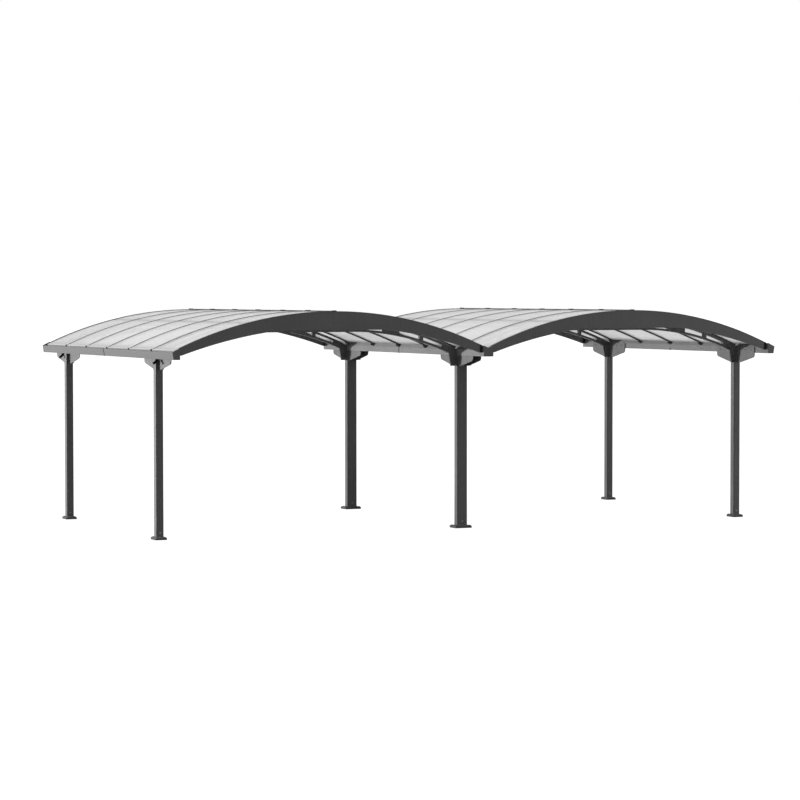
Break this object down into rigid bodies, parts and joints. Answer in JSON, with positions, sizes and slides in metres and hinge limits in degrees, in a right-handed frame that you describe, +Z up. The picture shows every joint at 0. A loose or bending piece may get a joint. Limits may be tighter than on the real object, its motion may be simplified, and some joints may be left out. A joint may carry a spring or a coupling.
{
  "type": "double arched carport",
  "caption": "Free-standing double carport: two arched translucent roofs side by side over a shared middle gutter, on posts with base plates, with fascias and trusses",
  "frame": {"origin": "on the ground, midway between the front and rear posts and midway between the outer posts", "axes": "+X across the two bays to the right seen from the front, +Y to the rear, +Z up"},
  "size_m": [7.108, 4.28, 2.358],
  "materials": {
    "powder_coat": "matt anthracite powder coat on aluminium, fine texture",
    "clear_sheet": "translucent twin-wall polycarbonate sheet with fine flutes",
    "black_rubber": "black moulded rubber",
    "black_plastic": "black moulded plastic"
  },
  "bodies": {
    "root": {"post_front_left": "powder_coat", "bracket_front_left": "powder_coat", "post_front_middle": "powder_coat", "bracket_front_middle": "powder_coat", "post_front_right": "powder_coat", "bracket_front_right": "powder_coat", "base_plates_front": "powder_coat", "gutter_caps_front": "powder_coat", "truss_ends_front": "powder_coat", "post_rear_left": "powder_coat", "bracket_rear_left": "powder_coat", "post_rear_middle": "powder_coat", "bracket_rear_middle": "powder_coat", "post_rear_right": "powder_coat", "bracket_rear_right": "powder_coat", "base_plates_rear": "powder_coat", "gutter_caps_rear": "powder_coat", "truss_ends_rear": "powder_coat", "gutter_left_front": "powder_coat", "gutter_left_rear": "powder_coat", "gutter_middle_front": "powder_coat", "gutter_middle_rear": "powder_coat", "gutter_right_front": "powder_coat", "gutter_right_rear": "powder_coat", "fascia_front_left_outer": "powder_coat", "fascia_front_left_inner": "powder_coat", "truss_front_left": "powder_coat", "fascia_front_right_outer": "powder_coat", "fascia_front_right_inner": "powder_coat", "truss_front_right": "powder_coat", "fascia_rear_left_outer": "powder_coat", "fascia_rear_left_inner": "powder_coat", "truss_rear_left": "powder_coat", "fascia_rear_right_outer": "powder_coat", "fascia_rear_right_inner": "powder_coat", "truss_rear_right": "powder_coat", "ribs_left": "powder_coat", "roof_sheets_left": "clear_sheet", "ribs_right": "powder_coat", "roof_sheets_right": "clear_sheet", "purlins": "powder_coat", "rib_end_plugs": "black_rubber", "fascia_end_blocks_left": "powder_coat", "fascia_end_blocks_right": "black_rubber", "crown_covers": "black_plastic", "crown_strips": "black_rubber", "rainwater_outlets": "black_plastic"}
  },
  "joints": []
}
